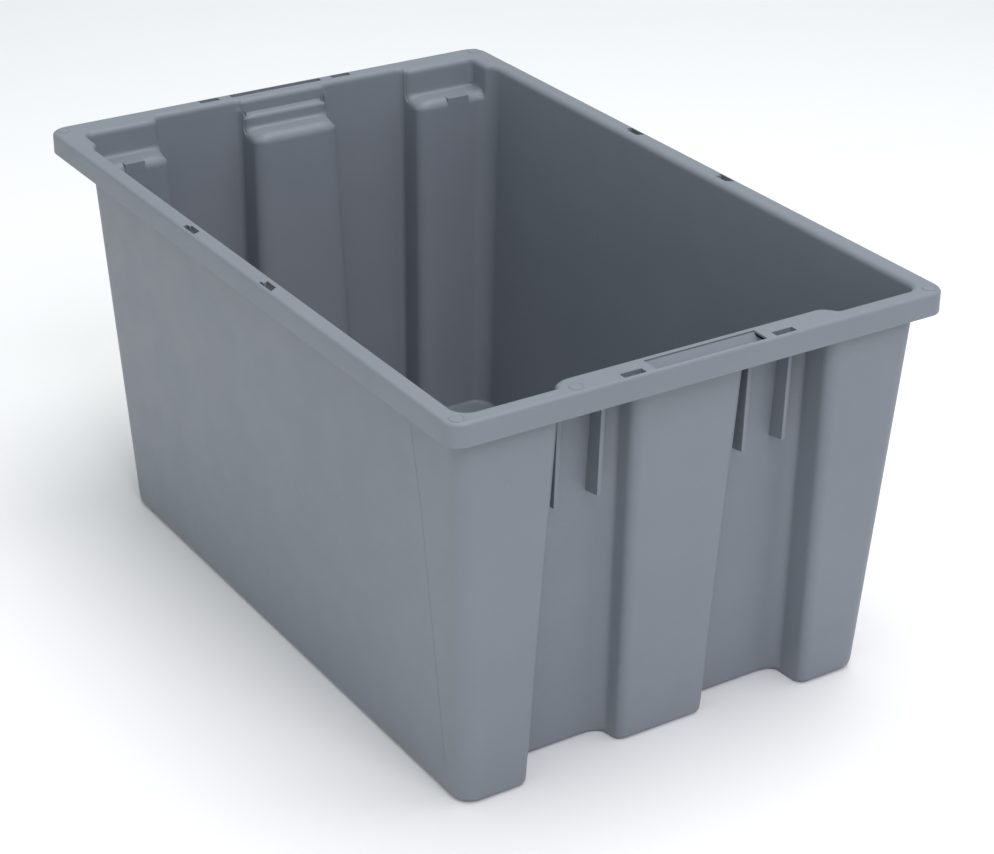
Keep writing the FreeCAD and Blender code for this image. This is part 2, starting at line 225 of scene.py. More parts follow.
def shelf_rows(face, next_face, top, front_radius, back_radius, valley0, valley1):
    """Rounded front edge, flat top and back fillet of a ledge."""
    front = face(top - front_radius) - WALL
    back = next_face(top + back_radius) - WALL
    rows = []
    for part in fractions(ARC_STEPS):
        angle = part * math.pi / 2
        rows.append(Row(front + front_radius * (1 - math.cos(angle)),
                        top - front_radius + front_radius * math.sin(angle),
                        WALL * math.cos(angle), -WALL * math.sin(angle),
                        math.cos(angle), math.sin(angle), valley0))
    for part in fractions(SHELF_STEPS):
        start, end = front + front_radius, back - back_radius
        valley = valley0 + (valley1 - valley0) * part
        rows.append(Row(start + (end - start) * part, top, 0, -WALL, 0.0, 1.0, valley))
    for part in fractions(BACK_STEPS):
        angle = part * math.pi / 2
        rows.append(Row(back - back_radius + back_radius * math.sin(angle),
                        top + back_radius * (1 - math.cos(angle)),
                        WALL * math.sin(angle), -WALL * math.cos(angle),
                        math.sin(angle), math.cos(angle), valley1))
    return rows


SHELF_ROWS = ARC_STEPS + SHELF_STEPS + BACK_STEPS
UPPER_ROW = LEDGE_START + SHELF_ROWS


def zone_rows(face, ledge_face=None, step_face=None):
    """All rows of a zone from the floor to the start of the rim."""
    deep, middle, shallow = VALLEY_RADIUS
    foot = WALL + FOOT_FILLET
    rows = foot_rows(face, deep)
    if ledge_face is None:
        rows += straight_rows(face, foot, SPREAD_LOW, WALL_STEPS, deep, middle)
        rows += straight_rows(face, SPREAD_LOW, SPREAD_HIGH, SHELF_ROWS, middle, shallow)
        rows += straight_rows(face, SPREAD_HIGH, BEND_START, SHELF_ROWS + UPPER_STEPS, shallow, shallow)
        return rows
    rows += straight_rows(face, foot, LEDGE_TOP - LEDGE_FRONT_RADIUS, WALL_STEPS, deep, middle)
    rows += shelf_rows(face, ledge_face, LEDGE_TOP, LEDGE_FRONT_RADIUS, LEDGE_BACK_RADIUS, middle, shallow)
    ledge_end = LEDGE_TOP + LEDGE_BACK_RADIUS
    if step_face is None:
        rows += straight_rows(ledge_face, ledge_end, BEND_START, SHELF_ROWS + UPPER_STEPS, shallow, shallow)
        return rows
    step_start = STEP_TOP - STEP_FRONT_RADIUS
    rows += straight_rows(ledge_face, ledge_end, step_start, 1, shallow, STEP_FRONT_RADIUS)
    rows += shelf_rows(ledge_face, step_face, STEP_TOP, STEP_FRONT_RADIUS, STEP_BACK_RADIUS,
                       STEP_FRONT_RADIUS, STEP_FRONT_RADIUS)
    rows += straight_rows(step_face, STEP_TOP + STEP_BACK_RADIUS, BEND_START, UPPER_STEPS - 1,
                          STEP_FRONT_RADIUS, STEP_FRONT_RADIUS)
    return rows


class RimRow:
    """One row of the rim: bend is the share of the way from wall to rim top, flat the share of
    the way from there to the outer edge. tilt turns the skin's thickness from level to upright."""

    def __init__(self, bend, flat, z, kind, angle=0.0):
        self.bend, self.flat, self.z, self.kind, self.angle = bend, flat, z, kind, angle


def rim_row_at(reach, edge_distance, kind="top"):
    """Row at a distance from the rim's outer edge, where the wall is at distance reach."""
    travelled = reach - edge_distance
    if travelled <= RIM_BEND:
        angle = math.acos(1 - travelled / RIM_BEND)
        return RimRow(travelled / RIM_BEND, 0, BEND_START + RIM_BEND * math.sin(angle), kind, angle)
    return RimRow(1, (travelled - RIM_BEND) / (reach - RIM_BEND), HEIGHT, kind, math.pi / 2)


def rim_rows(reach, handle_inner):
    """Rows over the rim: round the bend, on to the handle's inner edge, over slots and outer edge."""
    rows = []
    for part in fractions(BEND_STEPS):
        rows.append(rim_row_at(reach, reach - RIM_BEND * (1 - math.cos(part * math.pi / 2))))
    rows.append(rim_row_at(reach, handle_inner))
    for part in (0, 1 / 3, 2 / 3, 1):
        rows.append(rim_row_at(reach, SLOT_INNER + (SKIRT_WALL - SLOT_INNER) * part))
    for part in fractions(EDGE_STEPS):
        angle = part * math.pi / 2
        row = rim_row_at(reach, RIM_EDGE * (1 - math.sin(angle)), "edge")
        row.z, row.angle = HEIGHT - RIM_EDGE * (1 - math.cos(angle)), angle
        rows.append(row)
    for z, kind in ((RIM_UNDERSIDE - SKIRT_FILLET - MM, "skirt"), (SKIRT_BOTTOM + SKIRT_LIP, "skirt"),
                    (SKIRT_BOTTOM, "lip")):
        rows.append(RimRow(1, 1, z, kind))
    return rows


HANDLE_ROW = BEND_STEPS + 1     # rim row, counted from the wall, where a handle opening starts
SLOT_ROW = HANDLE_ROW + 1
SLOT_END_ROW = SLOT_ROW + 3
SKIRT_ROW = SLOT_END_ROW + 1    # rim row where the skirt pieces begin


class Zone:
    """A straight stretch of wall: its rows up to the rim and its rows over the rim."""

    def __init__(self, rows, rim_face, half, handle_inner):
        self.rows = rows
        self.rim_wall = rim_face(BEND_START) - WALL
        self.rim_top = self.rim_wall + RIM_BEND
        self.rim = rim_rows(half - self.rim_wall, handle_inner)


front_column = Zone(zone_rows(outward_face), outward_face, HALF_LENGTH, SPARE_INNER)
front_centre = Zone(zone_rows(pocket_face), pocket_face, HALF_LENGTH, FRONT_HANDLE_INNER)
front_recess = Zone(zone_rows(recess_face, pocket_face), pocket_face, HALF_LENGTH, FRONT_HANDLE_INNER)
rear_foot = Zone(zone_rows(outward_face), outward_face, HALF_LENGTH, SPARE_INNER)
rear_corner = Zone(zone_rows(recess_face, pocket_face), pocket_face, HALF_LENGTH, SPARE_INNER)
rear_centre = Zone(zone_rows(recess_face, pocket_face, handle_face), handle_face,
                   HALF_LENGTH, SPARE_INNER)
long_side = Zone(zone_rows(side_face), side_face, HALF_WIDTH, SPARE_INNER)

WALL_ROWS = len(front_column.rows)
RIM_ROWS = len(front_column.rim)
ROWS = WALL_ROWS + RIM_ROWS

# ---------------- samples round the bin


def mix(a, b, part):
    return a + (b - a) * part


def smooth(part):
    return part * part * (3 - 2 * part)


class Sample:
    """One upright line of the grid: a point (across, out, height) on both faces at every row."""

    def __init__(self, label):
        self.label = label
        self.wall = np.zeros((WALL_ROWS, 2, 3))

    def set_rim(self, top, edge, edge_normal, rim_mix):
        """Its places on the rim in plan: where the bend ends, and on the outer edge, with the edge's
        normal. rim_mix is the two zones whose rim rows it follows, and the share of the second."""
        self.top, self.edge = np.array(top), np.array(edge)
        self.edge_normal, self.rim_mix = np.array(edge_normal), rim_mix

    def points(self):
        """All points (x, y, z) of both faces."""
        result = np.zeros((ROWS, 2, 3))
        result[:WALL_ROWS] = self.wall
        start = self.wall[-1, 0, :2]
        first, second, share = self.rim_mix
        travel = self.top - start
        direction = travel / max(np.linalg.norm(travel), 1e-9)
        for index in range(RIM_ROWS):
            a, b = first.rim[index], second.rim[index]
            bend, flat = mix(a.bend, b.bend, share), mix(a.flat, b.flat, share)
            z, angle = mix(a.z, b.z, share), mix(a.angle, b.angle, share)
            place = start + travel * bend + (self.edge - self.top) * flat
            inner = [*place, z]
            if a.kind == "top":
                shift = direction * WALL * math.cos(angle)
                outer = [*(place + shift), z - WALL * math.sin(angle)]
            elif a.kind == "edge":
                back = SKIRT_WALL + SKIRT_FILLET * (1 - math.sin(angle))
                drop = RIM_UNDERSIDE - SKIRT_FILLET * (1 - math.cos(angle))
                outer = [*(self.edge - self.edge_normal * back), drop]
            else:
                lip = self.edge_normal * SKIRT_LIP / 2 if a.kind == "lip" else 0.0
                inner = [*(place - lip), z]
                outer = [*(self.edge - self.edge_normal * SKIRT_WALL + lip), z]
            result[WALL_ROWS + index] = [inner, outer]
        return result


def rounded(across, out, radius, turned):
    """The place on a rounded corner of the plan that faces the direction turned."""
    return np.array([across, out]) - radius + turned * radius


ARC_PARTS = [index / 7 for index in range(8)]
FLANK_PARTS = [1 / 3, 2 / 3]
LEAST_VALLEY = 0.5 * MM


def flank(edge, toward_high, recessed, raised, labels, rim_span):
    """Samples across a flank, from the recessed zone to the raised one.

    edge is the outer face of the flank; toward_high is the X direction from the recessed zone to
    the raised one. rim_span gives the X of both ends of the group at the rim."""
    samples = []
    steps = ([("recessed", part) for part in ARC_PARTS] + [("flank", part) for part in FLANK_PARTS]
             + [("raised", part) for part in reversed(ARC_PARTS)])
    total = len(steps) - 1
    for order, (kind, part) in enumerate(steps):
        sample = Sample(labels[0] if kind == "recessed" and part < 1 else labels[1])
        angle = part * math.pi / 2
        for index in range(WALL_ROWS):
            inside, outside = recessed.rows[index], raised.rows[index]
            for skin in (0, 1):
                low_out, low_z = inside.point(skin)
                high_out, high_z = outside.point(skin)
                valley = max(inside.valley - skin * WALL, LEAST_VALLEY)
                column = by_height(COLUMN_RADIUS, high_z) - WALL * (1 - skin)
                needed = inside.turn * valley + column
                fit = min(1.0, max(high_out - low_out, 0.0) / needed)

                def valley_point(turned):
                    z = low_z - inside.drop * valley * (1 - math.cos(turned))
                    face = edge(z) + toward_high * WALL
                    centre = face - toward_high * (inside.valley + VALLEY_SPREAD + FLANK_LEAN / 2)
                    reach = inside.valley + VALLEY_SPREAD - skin * WALL
                    across = centre + toward_high * reach * math.sin(turned)
                    out = low_out + inside.turn * valley * fit * (1 - math.cos(turned))
                    return np.array([across, out, z])

                def column_point(turned):
                    face = edge(high_z) + toward_high * WALL * (1 - skin)
                    centre = face + toward_high * (column + FLANK_LEAN / 2)
                    across = centre - toward_high * column * math.sin(turned)
                    return np.array([across, high_out - column * fit * (1 - math.cos(turned)), high_z])

                if kind == "recessed":
                    sample.wall[index, skin] = valley_point(angle)
                elif kind == "raised":
                    sample.wall[index, skin] = column_point(angle)
                else:
                    flank_start, flank_end = valley_point(math.pi / 2), column_point(math.pi / 2)
                    sample.wall[index, skin] = mix(flank_start, flank_end, part)
        share = order / total
        across = mix(rim_span[0], rim_span[1], share)
        out = mix(recessed.rim_top, raised.rim_top, smooth(share))
        sample.set_rim((across, out), (across, HALF_LENGTH), (0.0, 1.0),
                       (recessed, raised, smooth(share)))
        samples.append(sample)
    return samples


def outer_corner(end_zone, label):
    """Samples round the corner from the front end to a long side, in plan (x, out)."""
    samples = []
    for part in [index / 10 for index in range(11)]:
        angle = part * math.pi / 2
        turned = np.array([math.sin(angle), math.cos(angle)])
        sample = Sample(label)
        for index in range(WALL_ROWS):
            for skin in (0, 1):
                end_out, z = end_zone.rows[index].point(skin)
                side_out = long_side.rows[index].point(skin)[0]
                radius = CORNER_RADIUS - WALL * (1 - skin)
                sample.wall[index, skin] = [*rounded(side_out, end_out, radius, turned), z]
        sample.set_rim(rounded(long_side.rim_top, end_zone.rim_top, RIM_INNER_CORNER, turned),
                       rounded(HALF_WIDTH, HALF_LENGTH, RIM_CORNER, turned), turned,
                       (end_zone, long_side, part))
        samples.append(sample)
    return samples


REAR_ARC = 16 * MM              # inner face, where the long side meets a rear corner pilaster
STEP_EDGE = 2 * MM              # rounding of the edge where the pocket cuts into that corner
PLANE_SPAN = 3 * STEP_EDGE      # below the ledge, how far along the arc the side wall's samples reach
POCKET_CORNER = 5 * MM          # from the pocket's side wall into its back wall
POCKET_FLOOR_FILLET = 3 * MM
LEAST_FILLET = 0.3 * MM
CURVE_AHEAD = 0.8               # share of the rim's soft S that lies before the pocket's edge
EDGE_PARTS = [index / 4 for index in range(5)]
PLANE_PARTS = [1 / 3, 2 / 3]
ARC_TAIL = 8 * MM               # flat stretch of the pilaster that the corner's samples also cover


def corner_height(index):
    """Height of a row on the long side: level with the pilaster up to its ledge, then even."""
    rows = rear_corner.rows
    if index <= ROUND_END:
        return rows[index].z
    return mix(LEDGE_TOP, BEND_START, (index - ROUND_END) / (WALL_ROWS - 1 - ROUND_END))


class CornerRow:
    """Plan of one row of the rear corner, for one face of the skin."""

    def __init__(self, index, skin):
        self.index, self.skin = index, skin
        self.row = rear_corner.rows[index]
        self.height = corner_height(index)
        self.low_out, self.low_z = self.row.point(skin)
        if index > FLOOR_END:
            offset = skin * WALL
            self.high_z = self.height
            side_out = side_face(self.height) - WALL + offset
        else:
            offset = skin * self.row.step_out
            self.high_z = self.low_z
            side_out = long_side.rows[index].point(skin)[0]
        front_out = self.low_out if index <= LEDGE_START else recess_face(self.height) - WALL + offset
        self.radius = REAR_ARC + offset
        self.centre = np.array([side_out - self.radius, front_out - self.radius])
        self.plane = side_out - CORNER_STEP
        self.limit = math.acos(min((self.plane - self.centre[0]) / self.radius, 1.0))
        self.blend = 0.0
        if index > LEDGE_START:
            self.blend = min(self.row.drop, 1.0) ** 2 if index <= ROUND_END else 1.0

    def arc(self, angle, radius=None):
        radius = self.radius if radius is None else radius
        return self.centre + radius * np.array([math.cos(angle), math.sin(angle)])

    def hollow(self, part):
        x, out = self.arc(part * self.edge_start())
        return np.array([x, out, self.high_z])

    def edge_start(self):
        return self.limit - STEP_EDGE / self.radius

    def edge(self, part):
        """The rounded edge at the pocket's side wall, or below the ledge the arc itself."""
        start, end = self.edge_start(), self.limit + STEP_EDGE / self.radius
        round_place = self.arc(mix(start, end, part))
        corner = self.arc(self.limit)
        if self.index <= LEDGE_START:
            return np.array([*round_place, self.high_z])
        room = self.valley(0.0)[1] - corner[1]
        behind = corner + np.array([0.0, max(min(STEP_EDGE, room * 0.4), 0.0)])
        curve = self.arc(start) * (1 - part) ** 2 + corner * 2 * part * (1 - part) + behind * part ** 2
        return np.array([*curve, self.high_z])

    def valley(self, part):
        """From the pocket's side wall round to its back wall; below the ledge, along the arc."""
        angle = part * math.pi / 2
        travelled = self.radius + (self.low_out - (self.centre[1] + self.radius))
        travelled = max(travelled, self.radius)
        start = math.acos(min((self.plane - self.centre[0]) / travelled, 1.0))
        if self.index <= LEDGE_START:
            start = self.limit + PLANE_SPAN / self.radius
        tail = part * part * ARC_TAIL
        x, out = self.arc(mix(start, math.pi / 2, part), travelled)
        below = np.array([x - tail, out, self.low_z])
        turn_radius = POCKET_CORNER + self.skin * WALL
        floor_radius = max(POCKET_FLOOR_FILLET - self.skin * WALL, LEAST_FILLET)
        radius = mix(turn_radius, floor_radius, self.row.drop)
        above = np.array([self.plane - radius * (1 - math.cos(angle)),
                          self.low_out - self.row.turn * radius * (1 - math.sin(angle)),
                          self.low_z + self.row.drop * radius * (1 - math.sin(angle))])
        return mix(below, above, self.blend)

    def plane_part(self, part):
        if self.index <= LEDGE_START:
            end = self.limit + PLANE_SPAN / self.radius
            x, out = self.arc(mix(self.limit + STEP_EDGE / self.radius, end, part))
            return np.array([x, out, self.high_z])
        return mix(self.edge(1.0), self.valley(0.0), part)


def rear_corner_samples(labels):
    """Samples from the long side to the rear corner pilaster, in plan (x, out).

    Below the ledge there is one rounded corner. From the ledge up, the pocket over the ledge cuts
    into that corner: its side wall is a flat that runs back from the arc."""
    samples = []
    steps = ([("hollow", part) for part in ARC_PARTS[:-1]] + [("edge", part) for part in EDGE_PARTS]
             + [("plane_part", part) for part in PLANE_PARTS] + [("valley", part) for part in ARC_PARTS])
    rows = [[CornerRow(index, skin) for skin in (0, 1)] for index in range(WALL_ROWS)]
    for kind, part in steps:
        sample = Sample(labels[0] if kind == "hollow" else labels[1])
        for index in range(WALL_ROWS):
            for skin in (0, 1):
                sample.wall[index, skin] = getattr(rows[index][skin], kind)(part)
        samples.append(sample)
    first, total = len(ARC_PARTS) - 1, len(steps) - 1
    curve_count = first + len(EDGE_PARTS)
    half_side = long_side.rim_top
    edge_out = rows[-1][0].arc(rows[-1][0].limit)[1]
    curve_start = edge_out - RIM_CURVE * CURVE_AHEAD
    curve_end = curve_start + RIM_CURVE
    turn_start = rear_corner.rim_top - RIM_INNER_CORNER
    straight_end = HALF_LENGTH - RIM_CORNER
    for order, sample in enumerate(samples):
        turned = np.array([1.0, 0.0])
        if order < curve_count:
            share = order / (curve_count - 1)
            along = mix(curve_start, curve_end, share)
            top, edge = (half_side - CORNER_STEP * smooth(share), along), (HALF_WIDTH, along)
        elif order < curve_count + len(PLANE_PARTS):
            share = (order - curve_count + 1) / (len(PLANE_PARTS) + 1)
            top = half_side - CORNER_STEP, mix(curve_end, turn_start, share)
            edge = HALF_WIDTH, mix(curve_end, straight_end, share)
        else:
            angle = (order - curve_count - len(PLANE_PARTS)) / (len(ARC_PARTS) - 1) * math.pi / 2
            turned = np.array([math.cos(angle), math.sin(angle)])
            top = rounded(half_side - CORNER_STEP, rear_corner.rim_top, RIM_INNER_CORNER, turned)
            edge = rounded(HALF_WIDTH, HALF_LENGTH, RIM_CORNER, turned)
        sample.set_rim(top, edge, turned, (long_side, rear_corner, order / total))
    return samples


def stretch(first, last, zone, label, keys, counts):
    """Samples along X strictly between two groups. keys are the X at the rim that samples must
    hit, counts the number of steps in each part between them."""
    stops = [first.top[0]] + list(keys) + [last.top[0]]
    places = []
    for start, end, count in zip(stops, stops[1:], counts):
        places += [mix(start, end, part) for part in fractions(count)]
    places = places[:-1]
    total = len(places) + 1
    samples = []
    for order, place in enumerate(places, start=1):
        keyed = (place - stops[0]) / (stops[-1] - stops[0])
        sample = Sample(label)
        sample.wall = mix(first.wall, last.wall, order / total)
        sample.set_rim(mix(first.top, last.top, keyed), mix(first.edge, last.edge, keyed),
                       last.edge_normal, (zone, zone, 0.0))
        samples.append(sample)
    return samples


def centre_sample(zone, label):
    """The sample on the middle plane of the bin."""
    sample = Sample(label)
    for index, row in enumerate(zone.rows):
        for skin in (0, 1):
            sample.wall[index, skin] = [0.0, *row.point(skin)]
    sample.set_rim((0.0, zone.rim_top), (0.0, HALF_LENGTH), (0.0, 1.0), (zone, zone, 0.0))
    return sample


HANDLE_SPAN = 6 * MM            # stretch of rim beside the front handle that the flank's samples cover
SLOT_SPAN = (END_SLOT_X - SLOT_LENGTH / 2, END_SLOT_X + SLOT_LENGTH / 2)
SIDE_SPAN = (SIDE_SLOT_Y - SLOT_LENGTH / 2, SIDE_SLOT_Y + SLOT_LENGTH / 2)


def rim_span(edge, toward_high):
    """X of the two ends of the soft S that the rim's inner edge makes at a flank."""
    middle = edge(BEND_START) + toward_high * WALL - toward_high * RIM_BEND
    return middle - toward_high * RIM_CURVE / 2, middle + toward_high * RIM_CURVE / 2


def half_ring():
    """Samples from the middle of the front, round the right side, to the middle of the rear."""
    middle_edge = flank(front_middle, -1, front_recess, front_centre,
                        ("front_right_recess", "front_middle"),
                        (FRONT_HANDLE_HALF + HANDLE_SPAN, FRONT_HANDLE_HALF))
    middle_edge.reverse()
    column_edge = flank(front_edge, 1, front_recess, front_column,
                        ("front_right_recess", "front_right_column"), rim_span(front_edge, 1))
    corner = outer_corner(front_column, "front_right_corner")
    back_corner = rear_corner_samples(("right_side_end", "rear_right_corner"))
    foot_edge = flank(rear_edge, -1, rear_corner, rear_foot,
                      ("rear_right_pilaster", "rear_right_foot"), rim_span(rear_edge, -1))
    centre_edge = flank(rear_middle, 1, rear_centre, rear_foot,
                        ("rear_middle", "rear_right_foot"), rim_span(rear_middle, 1))
    centre_edge.reverse()
    front, rear = centre_sample(front_centre, "front_middle"), centre_sample(rear_centre, "rear_middle")

    front_part = [front]
    front_part += stretch(front, middle_edge[0], front_centre, "front_middle", [], [8])
    front_part += middle_edge
    front_part += stretch(middle_edge[-1], column_edge[0], front_recess, "front_right_recess",
                          SLOT_SPAN, [2, 4, 5])
    front_part += column_edge
    front_part += stretch(column_edge[-1], corner[0], front_column, "front_right_column", [], [7])
    front_part += corner

    rear_part = list(back_corner)
    rear_part += stretch(back_corner[-1], foot_edge[0], rear_corner, "rear_right_pilaster", [], [6])
    rear_part += foot_edge
    rear_part += stretch(foot_edge[-1], centre_edge[0], rear_foot, "rear_right_foot",
                         [SLOT_SPAN[1], SLOT_SPAN[0], REAR_HANDLE_HALF], [6, 4, 2, 1])
    rear_part += centre_edge
    rear_part += stretch(centre_edge[-1], rear, rear_centre, "rear_middle", [], [6])
    rear_part.append(rear)

    front_points = [sample.points() for sample in front_part]
    rear_points = [sample.points() for sample in rear_part]
    for points in front_points:
        points[:, :, 1] *= -1
    first, last = front_points[-1], rear_points[0]
    side_points, places = [], []
    stops = [first[-1, 0, 1], -SIDE_SPAN[1], -SIDE_SPAN[0], SIDE_SPAN[0], SIDE_SPAN[1], last[-1, 0, 1]]
    for start, end, count in zip(stops, stops[1:], [14, 4, 8, 4, 14]):
        places += [mix(start, end, part) for part in fractions(count)]
    for order, place in enumerate(places[:-1], start=1):
        uniform = order / len(places)
        keyed = (place - stops[0]) / (stops[-1] - stops[0])
        points = np.zeros_like(first)
        for index in range(ROWS):
            rim = max(index - WALL_ROWS + 1, 0) / HANDLE_ROW
            points[index] = mix(first[index], last[index], mix(uniform, keyed, min(rim, 1.0)))
        side_points.append(points)
    labels = [sample.label for sample in front_part] + ["right_side"] * len(side_points)
    labels += [sample.label for sample in rear_part]
    return front_points + side_points + rear_points, labels


def whole_ring():
    """Both halves of the ring. The label of a sample names the cell that follows it."""
    points, labels = half_ring()
    right = np.array(points)
    left = right[1:-1][::-1].copy()
    left[..., 0] *= -1
    mirrored_labels = [label.replace("right", "left") for label in labels[:-1][::-1]]
    return np.concatenate([right, left]), labels[:-1] + mirrored_labels


grid, cell_labels = whole_ring()
SAMPLES = len(grid)

# ---------------- which piece a cell belongs to


def hole(sample, row):
    """True where a slot or a handle opening takes a cell of the rim away."""
    rim_row = row - WALL_ROWS + 1
    if not HANDLE_ROW <= rim_row < SLOT_END_ROW:
        return False
    middle = (grid[sample, row + 1, 0] + grid[(sample + 1) % SAMPLES, row + 1, 0]) / 2
    x, y = abs(middle[0]), abs(middle[1])
    at_end = y > HALF_LENGTH - SLOT_INNER - HANDLE_REACH
    if at_end and middle[1] < 0 and x < FRONT_HANDLE_HALF:
        return True
    if rim_row < SLOT_ROW:
        return False
    if at_end and middle[1] > 0 and x < REAR_HANDLE_HALF:
        return True
    if at_end:
        return SLOT_SPAN[0] < x < SLOT_SPAN[1]
    return SIDE_SPAN[0] < y < SIDE_SPAN[1]


RIM_PLACES = {
    "front_middle": "front", "front_right_recess": "front", "front_right_column": "front",
    "front_right_corner": "front_right", "right_side": "right", "right_side_end": "right",
    "rear_right_corner": "rear_right", "rear_right_pilaster": "rear", "rear_right_foot": "rear",
    "rear_middle": "rear",
}
WALL_PLACES = {
    "front_middle": ("front_middle_foot_column", "front_middle_foot_column", "front_upper_wall"),
    "front_right_recess": ("front_right_recess_panel", "front_right_stacking_ledge", "front_upper_wall"),
    "front_right_column": ("front_right_foot_column",) * 3,
    "front_right_corner": ("front_right_foot_column",) * 3,
    "right_side": ("right_side_wall",) * 3,
    "right_side_end": ("right_side_wall",) * 3,
    "rear_right_corner": ("rear_right_pilaster", "rear_right_stacking_ledge", "rear_right_pocket_wall"),
    "rear_right_pilaster": ("rear_right_pilaster", "rear_right_stacking_ledge", "rear_right_pocket_wall"),
    "rear_right_foot": ("rear_right_foot_column",) * 3,
    "rear_middle": ("rear_middle_pilaster", "rear_middle_stacking_ledge", "rear_middle_pocket_wall"),
}


def piece_of(sample, row):
    """Name of the CAD node that a cell belongs to, or nothing for a hole."""
    if hole(sample, row):
        return None
    label = cell_labels[sample]
    side = "left" if "left" in label else "right"
    label = label.replace("left", "right")
    if row < FLOOR_END:
        return "floor_panel"
    if row < WALL_ROWS - 1:
        band = 0 if row < LEDGE_START else 1 if row < UPPER_ROW else 2
        return WALL_PLACES[label][band].replace("right", side)
    place = RIM_PLACES[label].replace("right", side)
    if "_" in place:
        return f"rim_{place}_corner"
    return f"{place}_rim_flange" if row - WALL_ROWS + 1 < SKIRT_ROW else f"{place}_rim_skirt"


# ---------------- meshes from the grid


def face_normals():
    """Smooth normals of both faces of the skin, weighted by area so that flats stay flat."""
    normals = np.zeros_like(grid)
    nxt = np.roll(np.arange(SAMPLES), -1)
    a, b = grid[:, :-1], grid[nxt][:, :-1]
    c, d = grid[nxt][:, 1:], grid[:, 1:]
    cross = np.cross(c - a, d - b)
    for rows in (slice(0, ROWS - 1), slice(1, ROWS)):
        normals[:, rows] += cross
        normals[:, rows] += np.roll(cross, 1, axis=0)
    normals[:, :, 1] *= -1
    length = np.linalg.norm(normals, axis=-1, keepdims=True)
    return normals / np.maximum(length, 1e-12)


skin_normals = face_normals()
cells = {(s, r): piece_of(s, r) for s in range(SAMPLES) for r in range(ROWS - 1)}


def new_mesh(name, points, faces, normals):
    """Mesh from points and faces; normals gives one vector per face corner or nothing for flat."""
    mesh = bpy.data.meshes.new(name)
    mesh.from_pydata(points, [], faces)
    mesh.polygons.foreach_set("use_smooth", [True] * len(mesh.polygons))
    corner_normals = []
    for polygon, given in zip(mesh.polygons, normals):
        flat = tuple(polygon.normal)
        corner_normals += [flat] * len(polygon.vertices) if given is None else given
    mesh.normals_split_custom_set(corner_normals)
    mesh.update()
    return mesh


def moulded_piece(node, material):
    """A closed mesh of all the cells of one node."""
    index, points, faces, normals = {}, [], [], []

    def corner(s, r, skin):
        key = (s % SAMPLES, r, skin)
        if key not in index:
            index[key] = len(points)
            points.append(tuple(grid[key]))
        return index[key]

    def add(corners, skin_face):
        ids, kept = [], []
        for key in corners:
            number = corner(*key)
            if number not in ids:
                ids.append(number)
                kept.append(key)
        if len(ids) < 3:
            return
        faces.append(ids)
        if skin_face:
            normals.append([tuple(skin_normals[key[0] % SAMPLES, key[1], key[2]]) for key in kept])
        else:
            normals.append(None)

    for (s, r), owner in cells.items():
        if owner != node:
            continue
        t = s + 1
        add([(s, r, 0), (t, r, 0), (t, r + 1, 0), (s, r + 1, 0)], True)
        add([(s, r, 1), (s, r + 1, 1), (t, r + 1, 1), (t, r, 1)], True)
        if cells.get((s, r - 1)) != node and r > 0:
            add([(s, r, 0), (s, r, 1), (t, r, 1), (t, r, 0)], False)
        if cells.get((s, r + 1)) != node:
            add([(s, r + 1, 0), (t, r + 1, 0), (t, r + 1, 1), (s, r + 1, 1)], False)
        if cells[(s - 1) % SAMPLES, r] != node:
            add([(s, r, 0), (s, r + 1, 0), (s, r + 1, 1), (s, r, 1)], False)
        if cells[t % SAMPLES, r] != node:
            add([(t, r, 0), (t, r, 1), (t, r + 1, 1), (t, r + 1, 0)], False)
    if node == "floor_panel":
        add([(s, 0, 0) for s in range(SAMPLES)][::-1], False)
        add([(s, 0, 1) for s in range(SAMPLES)], False)
    piece = bpy.data.objects.new(f"{node}_moulding", new_mesh(node, points, faces, normals))
    return finish_piece(piece, material, node)


def finish_piece(piece, material, *nodes):
    """Links a piece, gives it its material and ties it to the frame."""
    if piece.name not in bpy.context.scene.collection.objects:
        bpy.context.scene.collection.objects.link(piece)
    piece.data.materials.clear()
    piece.data.materials.append(material)
    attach(piece, "root")
    if nodes:
        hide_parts(*nodes)
    return piece


# ---------------- the plastic


def shader_node(tree, kind, **values):
    """A shader node with some of its inputs set, by name with underscores for spaces."""
    made = tree.nodes.new(kind)
    for name, value in values.items():
        made.inputs[name.replace("_", " ")].default_value = value
    return made


def noise(tree, place, scale, detail, roughness):
    made = shader_node(tree, "ShaderNodeTexNoise", Scale=scale, Detail=detail, Roughness=roughness)
    tree.links.new(place, made.inputs["Vector"])
    return made.outputs["Fac"]


def remap(tree, value, from_low, from_high, to_low, to_high):
    made = tree.nodes.new("ShaderNodeMapRange")
    for name, number in zip(("From Min", "From Max", "To Min", "To Max"),
                            (from_low, from_high, to_low, to_high)):
        made.inputs[name].default_value = number
    tree.links.new(value, made.inputs["Value"])
    return made.outputs["Result"]


def ramp(tree, value, low_end, high_end):
    """A colour that follows a value between two ends, each given as (position, colour)."""
    made = tree.nodes.new("ShaderNodeValToRGB")
    for element, (position, colour) in zip(made.color_ramp.elements, (low_end, high_end)):
        element.position, element.color = position, (*colour, 1)
    tree.links.new(value, made.inputs["Fac"])
    return made.outputs["Color"]


def stretched(tree, place, scale, turn):
    """Coordinates turned and stretched, so that noise on them makes long thin streaks."""
    made = tree.nodes.new("ShaderNodeMapping")
    made.inputs["Scale"].default_value = scale
    made.inputs["Rotation"].default_value = turn
    tree.links.new(place, made.inputs["Vector"])
    return made.outputs["Vector"]


